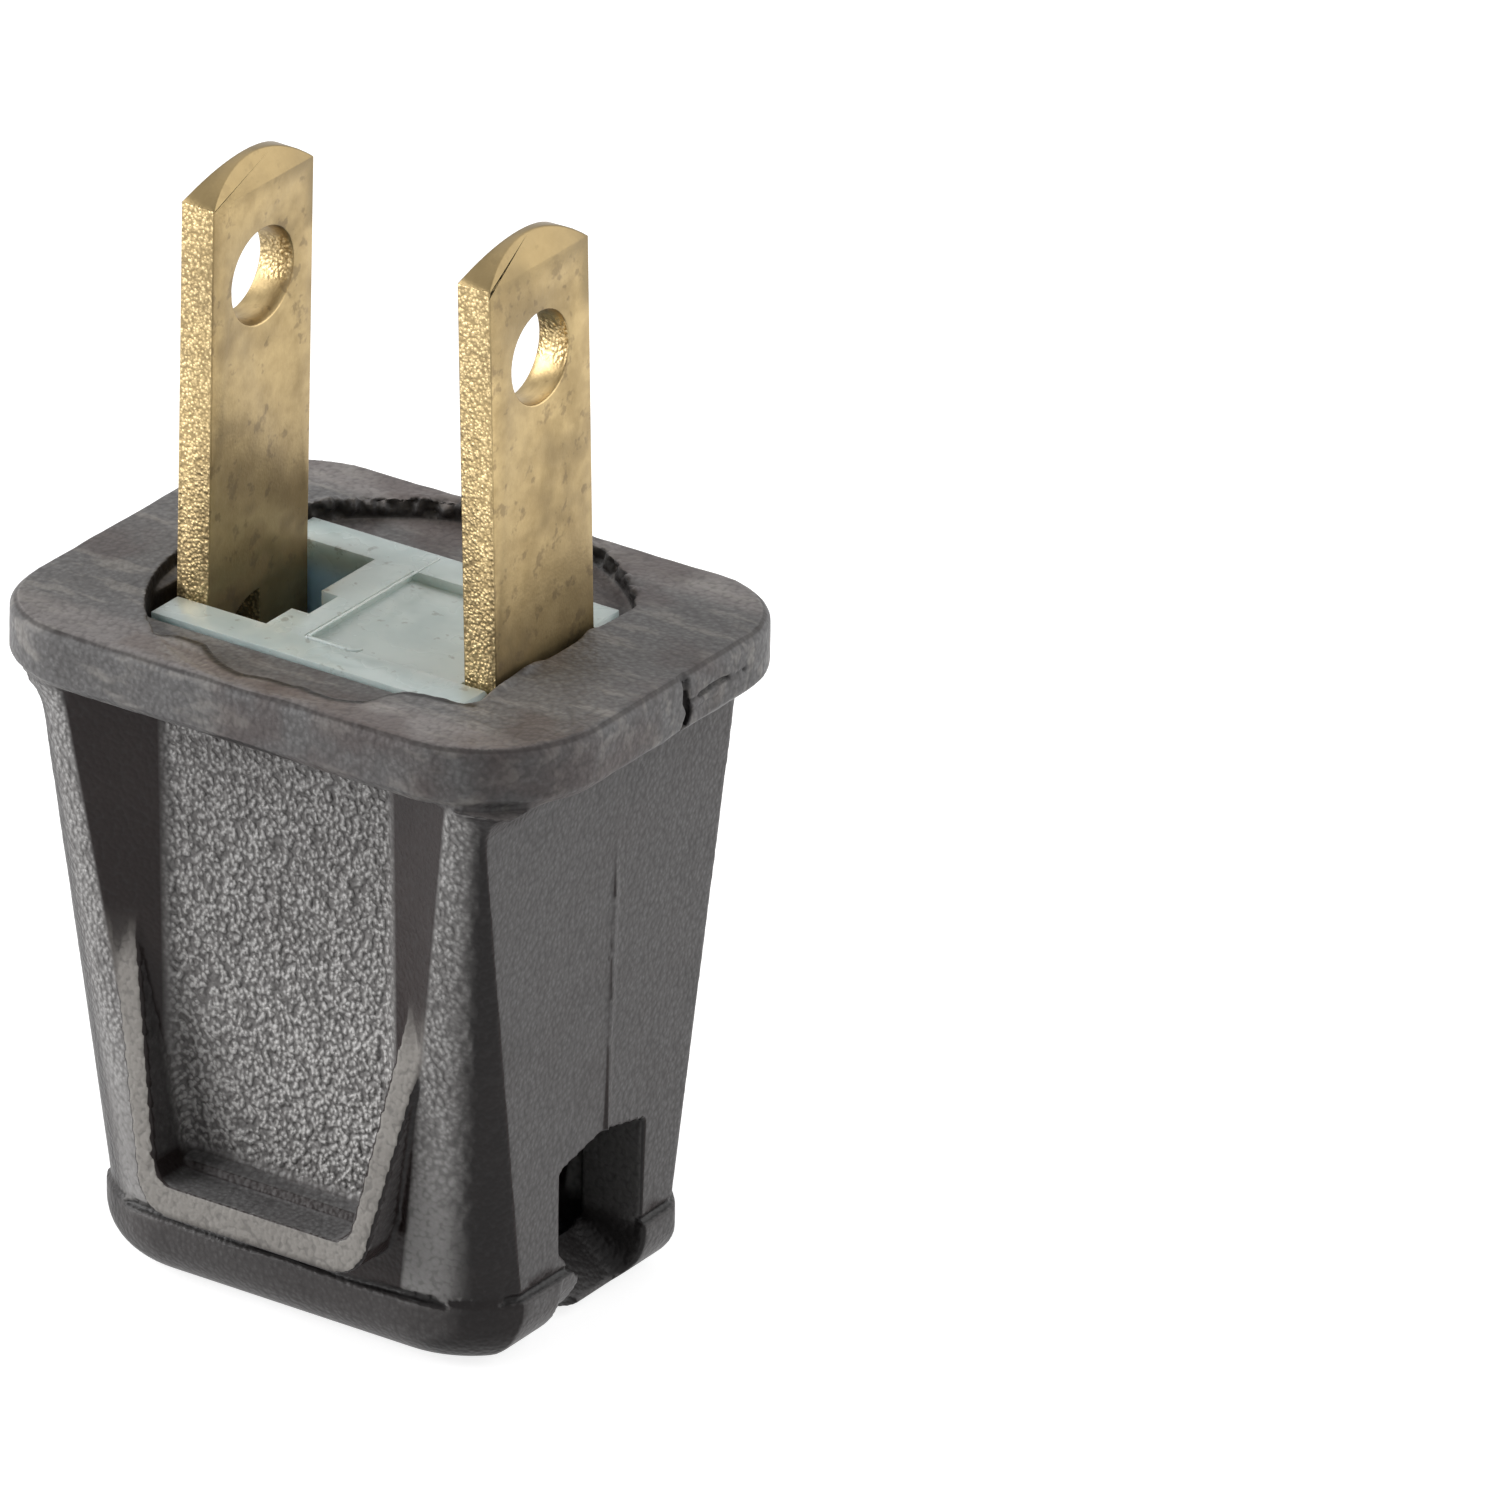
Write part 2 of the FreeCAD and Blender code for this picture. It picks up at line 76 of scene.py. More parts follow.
# %% [markdown]
# ## The camera
# A photograph can be matched by hand, by turning the camera until the edges
# lie over each other. Here the direction was worked out from edges whose real
# sizes are known: three angles say where the camera stands, and a long lens
# far away gives the flat perspective of a product photograph.

# %% Place the camera
azimuth, elevation, roll = [math.radians(a) for a in (34.527, 25.718, 0.484)]
sideways, downwards, distance = 13.545 * mm, 5.586 * mm, 700 * mm
film_width, focal_length = 36, 446.56
back = Vector((math.sin(azimuth) * math.cos(elevation),
               -math.cos(azimuth) * math.cos(elevation), math.sin(elevation)))
level = Vector((math.cos(azimuth), math.sin(azimuth), 0))
upright = back.cross(level)
right = level * math.cos(roll) + upright * math.sin(roll)
up = upright * math.cos(roll) - level * math.sin(roll)

bpy.ops.object.select_all(action="DESELECT")
bpy.ops.object.camera_add()
camera = bpy.context.object
camera.name = "camera"
target = Vector((0, 0, face_z)) + sideways * right - downwards * up
camera.location = target + distance * back
turn = camera.matrix_world.to_3x3()
for row in range(3):
    turn[row][0], turn[row][1], turn[row][2] = right[row], up[row], back[row]
camera.rotation_euler = turn.to_euler()
camera.data.sensor_width = film_width
camera.data.lens = focal_length
camera.data.clip_end = 10
bpy.context.scene.camera = camera
print("the camera stands", round(camera.location.length, 3), "m away")

# %% [markdown]
# ## Nodes in plain words
# Every finish below is a small network of nodes, and a few helpers keep the
# cells short. One adds a node and fills in its settings: a number goes into
# the socket, and an output of another node is linked to it. The others are
# sums, products, the larger of two, a ramp from one value to another, and a
# blend of two colours.

# %% Helpers for nodes
def add_node(tree, kind, inputs=None, **settings):
    node = tree.nodes.new(kind)
    for name, value in settings.items():
        setattr(node, name, value)
    for name, value in (inputs or {}).items():
        if isinstance(value, bpy.types.NodeSocket):
            tree.links.new(value, node.inputs[name])
        else:
            node.inputs[name].default_value = value
    return node


def sums(tree, operation, a, b=0.0, c=0.0):
    node = add_node(tree, "ShaderNodeMath", operation=operation)
    for socket, value in zip(node.inputs, (a, b, c)):
        if isinstance(value, bpy.types.NodeSocket):
            tree.links.new(value, socket)
        else:
            socket.default_value = value
    return node.outputs[0]


def times(tree, first, *others):
    for other in others:
        first = sums(tree, "MULTIPLY", first, other)
    return first


def larger(tree, first, *others):
    for other in others:
        first = sums(tree, "MAXIMUM", first, other)
    return first


def ramp(tree, value, low, high, out_low=0.0, out_high=1.0, curve="SMOOTHSTEP"):
    node = add_node(tree, "ShaderNodeMapRange", {"Value": value, "From Min": low, "From Max": high,
                                                 "To Min": out_low, "To Max": out_high},
                    interpolation_type=curve)
    return node.outputs["Result"]


def blend_colours(tree, share, first, second):
    node = add_node(tree, "ShaderNodeMix", data_type="RGBA")
    for number, value in ((0, share), (6, first), (7, second)):
        socket = node.inputs[number]
        if isinstance(value, bpy.types.NodeSocket):
            tree.links.new(value, socket)
        else:
            socket.default_value = value
    return node.outputs[2]


def fresh_material(name):
    material = bpy.data.materials.new(name)
    material.use_nodes = True
    tree = material.node_tree
    shader = tree.nodes["Principled BSDF"]
    return material, tree, shader


print("node helpers are ready")

# %% [markdown]
# ## Floor and light
# The plug was photographed on white without a visible shadow. The floor here
# is a plain pale sheet. To the camera, and to anything that mirrors it, it
# adds a glow of its own, so it looks white yet still keeps a soft shadow.
# Two big soft lamps stand left and right of the line of sight. They light the
# wide side and the narrow side, while the rounded corner between them, which
# looks straight at the camera, stays dark as it does in the photograph. A
# small low lamp makes the grain sparkle, and a faint one above opens the top.

# %% Floor
def white_to_the_eye(tree, plain, bright):
    path = add_node(tree, "ShaderNodeLightPath")
    eye = larger(tree, path.outputs["Is Camera Ray"], path.outputs["Is Glossy Ray"],
                 path.outputs["Is Transmission Ray"])
    mix = add_node(tree, "ShaderNodeMixShader", {0: eye})
    tree.links.new(plain, mix.inputs[1])
    tree.links.new(bright, mix.inputs[2])
    return mix.outputs[0]


bpy.ops.object.select_all(action="DESELECT")
floor_size = 4
bpy.ops.mesh.primitive_plane_add(size=floor_size)
floor = bpy.context.object
floor.name = "floor"
paper, tree, shader = fresh_material("pale_paper")
shader.inputs["Base Color"].default_value = (0.8, 0.8, 0.8, 1)
shader.inputs["Roughness"].default_value = 1
glow = add_node(tree, "ShaderNodeEmission", {"Color": (1, 1, 1, 1), "Strength": 0.8})
matt = add_node(tree, "ShaderNodeBsdfDiffuse", {"Color": (0.5, 0.5, 0.5, 1)})
both = add_node(tree, "ShaderNodeAddShader")
tree.links.new(glow.outputs[0], both.inputs[0])
tree.links.new(matt.outputs[0], both.inputs[1])
seen = white_to_the_eye(tree, shader.outputs[0], both.outputs[0])
tree.links.new(seen, tree.nodes["Material Output"].inputs["Surface"])
floor.data.materials.append(paper)

# %% Surroundings and lamps
world = bpy.data.worlds.new("white_room")
bpy.context.scene.world = world
world.use_nodes = True
tree = world.node_tree
dim = tree.nodes["Background"]
dim.inputs["Color"].default_value = (1, 1, 1, 1)
dim.inputs["Strength"].default_value = 0.14
white = add_node(tree, "ShaderNodeBackground", {"Color": (1, 1, 1, 1), "Strength": 1.0})
seen = white_to_the_eye(tree, dim.outputs[0], white.outputs[0])
tree.links.new(seen, tree.nodes["World Output"].inputs["Surface"])


lamp_distance, lamp_aim = 0.5, Vector((0, 0, 0.02))


def soft_lamp(name, azimuth, elevation, power, size):
    """An area lamp that looks at the plug; it stands in a direction given in degrees."""
    a, e = math.radians(azimuth), math.radians(elevation)
    way = Vector((math.sin(a) * math.cos(e), -math.cos(a) * math.cos(e), math.sin(e)))
    bpy.ops.object.select_all(action="DESELECT")
    bpy.ops.object.light_add(type="AREA", location=way * lamp_distance + lamp_aim)
    lamp = bpy.context.object
    lamp.name = name
    lamp.rotation_euler = way.to_track_quat("Z", "Y").to_euler()
    lamp.data.energy = power
    lamp.data.size = size
    return lamp


soft_lamp("lamp_left", -62, 22, 2.7, 0.35)
soft_lamp("lamp_low", -36, 4, 0.55, 0.2)
soft_lamp("lamp_right", 126, 22, 2.4, 0.6)
soft_lamp("lamp_above", 200, 62, 0.7, 0.5)
print("two side lamps, a low one for the sparkle of the grain and one above")

# %% [markdown]
# ## Effects shared by the finishes
# Three effects return in several finishes, so each is built once as a node
# group. The grain is the pebbled skin that a sand-blasted mould leaves. The
# smudge is a soft blotch for wear, dirt and stains. The zone is a soft box in
# the object's own space, which says where on the part a finish applies. A
# photograph of a surface would show these things too, but it would stretch
# over the curves, and a group can be used again at any size.

# %% Helpers for groups
def new_group(name, inputs, outputs):
    group = bpy.data.node_groups.new(name, "ShaderNodeTree")
    for label, kind, value in inputs:
        socket = group.interface.new_socket(label, in_out="INPUT", socket_type=kind)
        if value is not None:
            socket.default_value = value
    for label in outputs:
        group.interface.new_socket(label, in_out="OUTPUT", socket_type="NodeSocketFloat")
    source = group.nodes.new("NodeGroupInput")
    result = group.nodes.new("NodeGroupOutput")
    return group, source, result


def use_group(tree, group, inputs):
    node = add_node(tree, "ShaderNodeGroup", node_tree=group)
    for name, value in inputs.items():
        if isinstance(value, bpy.types.NodeSocket):
            tree.links.new(value, node.inputs[name])
        else:
            node.inputs[name].default_value = value
    return node


print("group helpers are ready")

# %% Grain
grain, source, result = new_group("moulded_grain", [
    ("Place", "NodeSocketVector", None), ("Scale", "NodeSocketFloat", 2500.0)],
    ["Height", "Glint"])
pebbles = add_node(grain, "ShaderNodeTexVoronoi", {"Vector": source.outputs["Place"],
                                                   "Scale": source.outputs["Scale"],
                                                   "Randomness": 1.0}, feature="SMOOTH_F1")
pebbles.inputs["Smoothness"].default_value = 0.6
dust = add_node(grain, "ShaderNodeTexNoise", {"Vector": source.outputs["Place"],
                                              "Scale": times(grain, source.outputs["Scale"], 0.9),
                                              "Detail": 1.0})
raised = sums(grain, "SUBTRACT", 1.0, pebbles.outputs["Distance"])
height = sums(grain, "ADD", raised, times(grain, dust.outputs["Fac"], 0.6))
grain.links.new(height, result.inputs["Height"])
# Glint marks the specks where the finishes paint glints of reflected light.
glint = times(grain, ramp(grain, dust.outputs["Fac"], 0.42, 0.6),
             ramp(grain, pebbles.outputs["Distance"], 0.62, 0.25))
grain.links.new(glint, result.inputs["Glint"])
print(grain.name, "has", len(grain.nodes), "nodes")

# %% Smudge
smudge, source, result = new_group("smudge", [
    ("Place", "NodeSocketVector", None), ("Scale", "NodeSocketFloat", 200.0),
    ("From", "NodeSocketFloat", 0.45), ("To", "NodeSocketFloat", 0.65)], ["Mask"])
cloud = add_node(smudge, "ShaderNodeTexNoise", {"Vector": source.outputs["Place"],
                                                "Scale": source.outputs["Scale"],
                                                "Detail": 3.0, "Roughness": 0.62})
blot = add_node(smudge, "ShaderNodeMapRange", {"Value": cloud.outputs["Fac"],
                                               "From Min": source.outputs["From"],
                                               "From Max": source.outputs["To"]},
                interpolation_type="SMOOTHSTEP")
smudge.links.new(blot.outputs["Result"], result.inputs["Mask"])
print(smudge.name, "has", len(smudge.nodes), "nodes")

# %% Zone
zone, source, result = new_group("zone", [
    ("Place", "NodeSocketVector", None), ("Centre", "NodeSocketVector", (0, 0, 0)),
    ("Half", "NodeSocketVector", (0.01, 0.01, 0.01)), ("Soft", "NodeSocketFloat", 0.0004)],
    ["Mask"])
away = add_node(zone, "ShaderNodeVectorMath", operation="SUBTRACT")
zone.links.new(source.outputs["Place"], away.inputs[0])
zone.links.new(source.outputs["Centre"], away.inputs[1])
far = add_node(zone, "ShaderNodeVectorMath", operation="ABSOLUTE")
zone.links.new(away.outputs[0], far.inputs[0])
over = add_node(zone, "ShaderNodeVectorMath", operation="SUBTRACT")
zone.links.new(far.outputs[0], over.inputs[0])
zone.links.new(source.outputs["Half"], over.inputs[1])
axes = add_node(zone, "ShaderNodeSeparateXYZ", {0: over.outputs[0]})
worst = larger(zone, *axes.outputs)
depth_inside = sums(zone, "DIVIDE", times(zone, worst, -1.0), source.outputs["Soft"])
clamp = add_node(zone, "ShaderNodeClamp", {"Value": depth_inside})
zone.links.new(clamp.outputs[0], result.inputs["Mask"])
print(zone.name, "has", len(zone.nodes), "nodes")

# %% [markdown]
# ### Asking where a point is
# The finishes below ask the same questions: where is this point, which way
# does it face, is it inside this box, how far up is it? Each question gets a
# short helper. Sizes are given in millimetres, as they are on a drawing. The
# last helper lays one paint after another over a colour, through a mask.

# %% Helpers for finishes
def place_and_facing(tree):
    """A point's place, the parts of the place, and the parts of its direction."""
    coords = add_node(tree, "ShaderNodeTexCoord")
    at = add_node(tree, "ShaderNodeSeparateXYZ", {0: coords.outputs["Object"]})
    facing = add_node(tree, "ShaderNodeSeparateXYZ", {0: coords.outputs["Normal"]})
    return coords.outputs["Object"], at.outputs, facing.outputs


def box_mask(tree, place, centre, half, soft):
    node = use_group(tree, zone, {"Place": place, "Centre": [v * mm for v in centre],
                                  "Half": [v * mm for v in half], "Soft": soft * mm})
    return node.outputs["Mask"]


def blotches(tree, place, scale, low, high):
    node = use_group(tree, smudge, {"Place": place, "Scale": scale, "From": low, "To": high})
    return node.outputs["Mask"]


def between(tree, length, low, high, out_low=0.0, out_high=1.0):
    """A smooth ramp whose two ends are lengths in millimetres."""
    return ramp(tree, length, low * mm, high * mm, out_low, out_high)


def straight_line(tree, height, start, end):
    """The distance on a line through two places, each a height and a distance."""
    return ramp(tree, height, start[0] * mm, end[0] * mm, start[1] * mm, end[1] * mm,
                curve="LINEAR")


def paint_over(tree, colour, layers):
    for mask, strength, paint in layers:
        colour = blend_colours(tree, times(tree, mask, strength), colour, (*paint, 1))
    return colour


print("helpers for finishes are ready")

# %% [markdown]
# ## The finish of the casing
# The casing is a brown-grey plastic. Its bare colour shows on the smooth
# facets of the thumb scoops. The corners that look towards the camera are
# painted darker still, a painted shade. Elsewhere the mould's texture and wear
# read as lighter grey, and part of that grey is painted sheen: glossy grain on
# the floor of the scoop, faint grain on the flats, rubbed pale on the flange and
# the raised rim. Each of these places gets a mask, made from where a point is
# and which way it faces.
# Painting by hand would also do, but masks can be changed with one number. The
# masks come first, then the colours are laid over each other.

# %% Where the casing is what
casing_finish, tree, shader = fresh_material("brown_grey_moulded_plastic")
place, at, facing = place_and_facing(tree)
side_x = sums(tree, "ABSOLUTE", facing["X"])
side_y = sums(tree, "ABSOLUTE", facing["Y"])
far_x = sums(tree, "ABSOLUTE", at["X"])
far_y = sums(tree, "ABSOLUTE", at["Y"])
outward = times(tree, facing["X"], at["X"])

on_top = ramp(tree, facing["Z"], 0.75, 0.95)
on_flat = ramp(tree, side_x, 0.955, 0.99)
on_flange = box_mask(tree, place, (0, 0, 27), (20, 20, 2.3), 0.3)
below_flange = sums(tree, "SUBTRACT", 1.0, on_flange)
# Painted shade: the rounded corners below the flange that look towards the camera are painted near
# black.
corner_shade = times(tree, ramp(tree, side_y, 0.3, 0.5), ramp(tree, side_y, 0.94, 0.84),
                  between(tree, outward, 0.0, 2.0), ramp(tree, on_flange, 0.0, 1.0, 1.0, 0.15))
print("flats, flange and corners are marked")

# %% [markdown]
# ### The thumb scoop
# The scoop is the hollow on each wide side that a thumb presses when the plug
# is pulled. Its floor, the ridges beside it and the U-shaped rim all lean
# inward towards the flange, so a box is not enough to find them. Straight
# lines follow how far out each lies at a given height, and the mask asks on
# which side of the line a point is.

# %% The scoop, the ridges beside it and its rim
floor_y = straight_line(tree, at["Z"], (3.9, 6.5), (24.9, 7.2))
above_floor = sums(tree, "SUBTRACT", far_y, floor_y)
in_scoop = times(tree, box_mask(tree, place, (0, 0, 15.4), (5.5, 12, 9.6), 0.6),
                 between(tree, above_floor, 0.9, 0.15))

ridge_x = straight_line(tree, at["Z"], (2.85, 5.6), (26.2, 9.06))
past_ridge = sums(tree, "SUBTRACT", far_x, ridge_x)
on_ridge = times(tree, ramp(tree, side_y, 0.8, 0.97), between(tree, past_ridge, -0.1, 0.15),
                 below_flange, between(tree, at["Z"], 2.4, 3.4))

rim_y = straight_line(tree, at["Z"], (3, 9.352), (17, 7.434))
above_rim = sums(tree, "SUBTRACT", far_y, rim_y)
inner_x = straight_line(tree, at["Z"], (5.4, 4.45), (16.5, 6.53))
past_inner = sums(tree, "SUBTRACT", far_x, inner_x)
beside = times(tree, between(tree, past_inner, -0.2, 0.0), between(tree, past_inner, 1.4, 0.9))
beside = larger(tree, beside, between(tree, at["Z"], 5.9, 5.5))
on_rim = times(tree, between(tree, above_rim, -0.22, -0.1),
               box_mask(tree, place, (0, 0, 10.3), (8, 12, 6.3), 0.4),
               beside, ramp(tree, side_y, 0.88, 0.95), between(tree, at["Z"], 16.2, 13.0))
print("scoop, ridges and rim are marked")

# %% [markdown]
# ### Dark places
# The wall of the round mouth and the inside of the cord window are so narrow
# that they look nearly black. The lamps alone leave them a little too light,
# so they get a mask of their own, and painted shade darkens them. The mouth
# is round, so its mask asks how far a point is from the middle.

# %% The places that lie in the dark
across = add_node(tree, "ShaderNodeCombineXYZ", {"X": at["X"], "Y": at["Y"]})
from_axis = add_node(tree, "ShaderNodeVectorMath", {0: across.outputs[0]}, operation="LENGTH")
in_mouth = times(tree, between(tree, from_axis.outputs["Value"], 9.5, 9.35),
                 ramp(tree, facing["Z"], 0.8, 0.5), between(tree, at["Z"], 24.6, 25.2))
in_window = times(tree, box_mask(tree, place, (5, 0.2, 4.0), (5.7, 3.3, 4.4), 0.4),
                  ramp(tree, side_x, 0.9, 0.8))
print("mouth and window are marked")

# %% [markdown]
# ### Colours and gloss of the casing
# Colour goes from the bare plastic to the pale rubbed places. Part of the pale
# is painted sheen: the scoop floor lighter towards its bottom, painted glints on
# the grain, a painted sheen on the front of the flange and a painted reflection
# in the lip's warm band. Painted shade darkens the hollows of the grain and the
# flange's top edge. Two things come last: the near-black painted shade of deep
# places that no light reaches, and the thin lines of dirt and painted shade in
# creases, which the skin carries as an attribute. One bump raises the grain:
# fully where the skin is grainy, and faintly elsewhere.

# %% Texture, wear and painted light of the casing
pebbled = use_group(tree, grain, {"Place": place, "Scale": 4700.0})
wear = blotches(tree, place, 260.0, 0.42, 0.7)
grime = blotches(tree, place, 420.0, 0.55, 0.68)
patch = blotches(tree, place, 170.0, 0.46, 0.6)
brushed = add_node(tree, "ShaderNodeMapping", {"Vector": place, "Rotation": (0, 0, 0.6),
                                               "Scale": (0.35, 1.4, 1.0)})
scuff = blotches(tree, brushed.outputs[0], 900.0, 0.5, 0.66)

# Painted sheen: the scoop floor is painted lighter towards its bottom, standing in for its
# reflection of the lamps.
scoop_sheen = between(tree, at["Z"], 22, 8, 0.55, 1.0)
on_shelf = times(tree, on_top, between(tree, at["Z"], 8, 6.5))
on_cap = between(tree, at["Z"], 3.2, 2.6, 0.0, 0.36)
# Partly the paler texture of the grainy places, partly painted sheen standing in for their glossy
# reflection.
pallor_and_sheen = larger(tree, times(tree, on_flat, 0.55), times(tree, on_flange, 0.85),
                   times(tree, in_scoop, scoop_sheen), times(tree, on_shelf, 0.95),
                   times(tree, on_ridge, 0.85), on_cap)
# Painted glints also fleck the pale colour.
speckle = sums(tree, "MULTIPLY_ADD", pebbled.outputs["Glint"], 0.3, 0.8)

ridge_grain = times(tree, on_ridge, between(tree, at["Z"], 5, 13, 0.0, 0.6))
grainy = larger(tree, in_scoop, ridge_grain)
# Wear on the scoop and ridges, with painted sheen: the scoop lighter towards its bottom and a
# painted highlight along the ridges.
wear_and_sheen = larger(tree, times(tree, in_scoop, scoop_sheen), times(tree, on_ridge, 0.5))
# Painted glints on the grainy places.
painted_glints = times(tree, grainy, pebbled.outputs["Glint"])
# Painted shade in the grain's hollows: between the pebbles where the skin is grainy, and in the
# deepest pits everywhere.
gap_shade = times(tree, grainy, ramp(tree, pebbled.outputs["Height"], 0.98, 0.72))
pit_shade = ramp(tree, pebbled.outputs["Height"], 0.8, 0.5)

# Painted sheen on the top of the flange towards the wide sides.
front_sheen = times(tree, on_top, on_flange, between(tree, far_y, 6.6, 7.6))
# The lip's warm band is partly the tint of the thin flash and partly a painted warm reflection.
lip_tint_and_reflection = box_mask(tree, place, (-1.0, -8.3, 27.4), (5.4, 0.8, 0.5), 0.6)
rubbed = larger(tree, times(tree, on_flange, scuff, 0.5), times(tree, on_rim, 0.9))
# Painted shade: the chamfer along the flange's top edge is painted dark, in an uneven line.
line_breaks = sums(tree, "MULTIPLY_ADD", grime, 0.4, 0.6)
edge_shade = times(tree, ramp(tree, facing["Z"], 0.93, 0.8), ramp(tree, facing["Z"], 0.25, 0.5),
                between(tree, at["Z"], 27.3, 27.38), line_breaks)
# The attribute carries dirt and painted shade along the creases.
crease = add_node(tree, "ShaderNodeAttribute", attribute_name="crease_dirt_and_shade",
                  attribute_type="GEOMETRY")
# Painted shade in the mouth, the cord window and the creases, with some dirt from the grime
# blotches.
shade_and_grime = larger(tree, times(tree, in_mouth, 0.85), crease.outputs["Fac"],
              times(tree, in_window, 0.65), times(tree, grime, 0.12))
print("texture and wear are mixed")

# %% Colours of the casing
# The pale colour is partly the grain's own pallor and partly painted sheen.
bare_plastic, pale_grain_and_sheen = (0.017, 0.0115, 0.011, 1), (0.165, 0.163, 0.163, 1)
colour = blend_colours(tree, times(tree, pallor_and_sheen, speckle), bare_plastic, pale_grain_and_sheen)
colour = paint_over(tree, colour, [
    # painted shade on the corners that face the camera
    (corner_shade, 0.95, (0.01, 0.008, 0.008)),
    # wear and painted sheen on the scoop and ridges
    (wear_and_sheen, 1.0, (0.43, 0.42, 0.41)),
    # painted shade between the pebbles
    (gap_shade, 0.65, (0.06, 0.055, 0.053)),
    # painted glints
    (painted_glints, 0.3, (0.62, 0.61, 0.6)),
    # painted sheen on the flange top
    (front_sheen, 0.45, (0.3, 0.27, 0.26)),
    # tint of the flash and painted reflection
    (lip_tint_and_reflection, 0.6, (0.1, 0.068, 0.052)),
    (rubbed, 1.0, (0.29, 0.275, 0.255)),
    (times(tree, patch, on_flange), 0.55, (0.075, 0.055, 0.052)),
    # painted shade on the flange's top edge
    (edge_shade, 1.0, (0.03, 0.024, 0.022)),
    # painted shade in the pits of the grain
    (pit_shade, 0.3, (0.03, 0.028, 0.028)),
    (wear, 0.15, (0.05, 0.04, 0.038)),
    # painted shade of deep places, with grime
    (shade_and_grime, 1.0, (0.008, 0.007, 0.007)),
])
tree.links.new(colour, shader.inputs["Base Color"])

rough = sums(tree, "MULTIPLY_ADD", grainy, -0.22, ramp(tree, pallor_and_sheen, 0.0, 0.9, 0.36, 0.5))
tree.links.new(rough, shader.inputs["Roughness"])
shader.inputs["Specular IOR Level"].default_value = 0.2
bump = add_node(tree, "ShaderNodeBump", {"Height": pebbled.outputs["Height"],
                                         "Distance": 0.2 * mm,
                                         "Strength": ramp(tree, grainy, 0.0, 1.0, 0.15, 1.0)})
tree.links.new(bump.outputs[0], shader.inputs["Normal"])
print("casing finish has", len(tree.nodes), "nodes")

# %% [markdown]
# ## The finish of the blades
# The blades are stamped from brass strip. Their faces are rolled and smooth,
# with a brown tarnish that thickens towards the core, and their edges are
# torn by the die, so they are granular. The tarnish is not metal, so it
# lowers Metallic a little as well as the colour. One material serves faces
# and edges, because the edges can be told by the way they face.

# %% Brass material
brass_finish, tree, shader = fresh_material("stained_brass")
place, at, facing = place_and_facing(tree)
sheared = ramp(tree, sums(tree, "ABSOLUTE", facing["Y"]), 0.8, 0.97)
low_part = between(tree, at["Z"], 36, 27)
# Painted shade: the upward faces of the tips are painted darker, to tone down their reflection.
tip_shade = times(tree, ramp(tree, facing["Z"], 0.1, 0.3), between(tree, at["Z"], 40, 41))
patches = blotches(tree, place, 240.0, 0.42, 0.66)
mottle = blotches(tree, place, 620.0, 0.4, 0.7)
spots = blotches(tree, place, 1100.0, 0.57, 0.66)
streaks = add_node(tree, "ShaderNodeMapping", {"Vector": place, "Scale": (1.0, 0.25, 0.25)})
rolled = blotches(tree, streaks.outputs[0], 6000.0, 0.35, 0.7)
torn = use_group(tree, grain, {"Place": place, "Scale": 7500.0})
stain = times(tree, patches, sums(tree, "MULTIPLY_ADD", low_part, 0.35, 0.45))
stain = larger(tree, stain, times(tree, low_part, 0.3))
# Painted shade in the hollows of the torn edges.
dip_shade = times(tree, sheared, ramp(tree, torn.outputs["Height"], 0.9, 0.6))

clean_brass, tarnish = (0.46, 0.345, 0.175, 1), (0.1, 0.07, 0.034, 1)
colour = blend_colours(tree, stain, clean_brass, tarnish)
colour = paint_over(tree, colour, [
    (rolled, 0.3, (0.26, 0.185, 0.08)),
    (mottle, 0.4, (0.2, 0.14, 0.065)),
    (spots, 0.4, (0.1, 0.07, 0.045)),
    # painted shade on the tips
    (tip_shade, 0.8, (0.17, 0.125, 0.06)),
    (sheared, 0.4, (0.62, 0.475, 0.25)),
    # painted glints on the torn edges
    (times(tree, sheared, torn.outputs["Glint"]), 0.7, (0.9, 0.7, 0.38)),
    # painted shade in the torn hollows
    (dip_shade, 0.5, (0.2, 0.14, 0.065)),
])
tree.links.new(colour, shader.inputs["Base Color"])
tree.links.new(sums(tree, "MULTIPLY_ADD", stain, -0.35, 1.0), shader.inputs["Metallic"])
tree.links.new(ramp(tree, stain, 0.0, 1.0, 0.36, 0.55), shader.inputs["Roughness"])
torn_height = times(tree, torn.outputs["Height"], sums(tree, "MULTIPLY_ADD", sheared, 0.9, 0.1))
bump = add_node(tree, "ShaderNodeBump", {"Height": torn_height, "Strength": 0.7,
                                         "Distance": 0.05 * mm})
tree.links.new(bump.outputs[0], shader.inputs["Normal"])
print("brass finish has", len(tree.nodes), "nodes")

# %% [markdown]
# ## The finish of the core
# The core is natural nylon, a milky plastic that lets some light in. Light
# that enters it scatters and comes out nearby, which is what subsurface
# scattering does. It has a cool, slightly green tint with faint dirt. Deep in
# the slots its colour is painted bluer and lighter, a painted light for the
# light that has gone through more of it.

# %% Nylon material
nylon_finish, tree, shader = fresh_material("milky_nylon")
place, at, facing = place_and_facing(tree)
clouds = blotches(tree, place, 330.0, 0.35, 0.75)
dirt = blotches(tree, place, 1500.0, 0.62, 0.7)
between_rails = between(tree, sums(tree, "ABSOLUTE", at["Y"]), 4.9, 4.5)
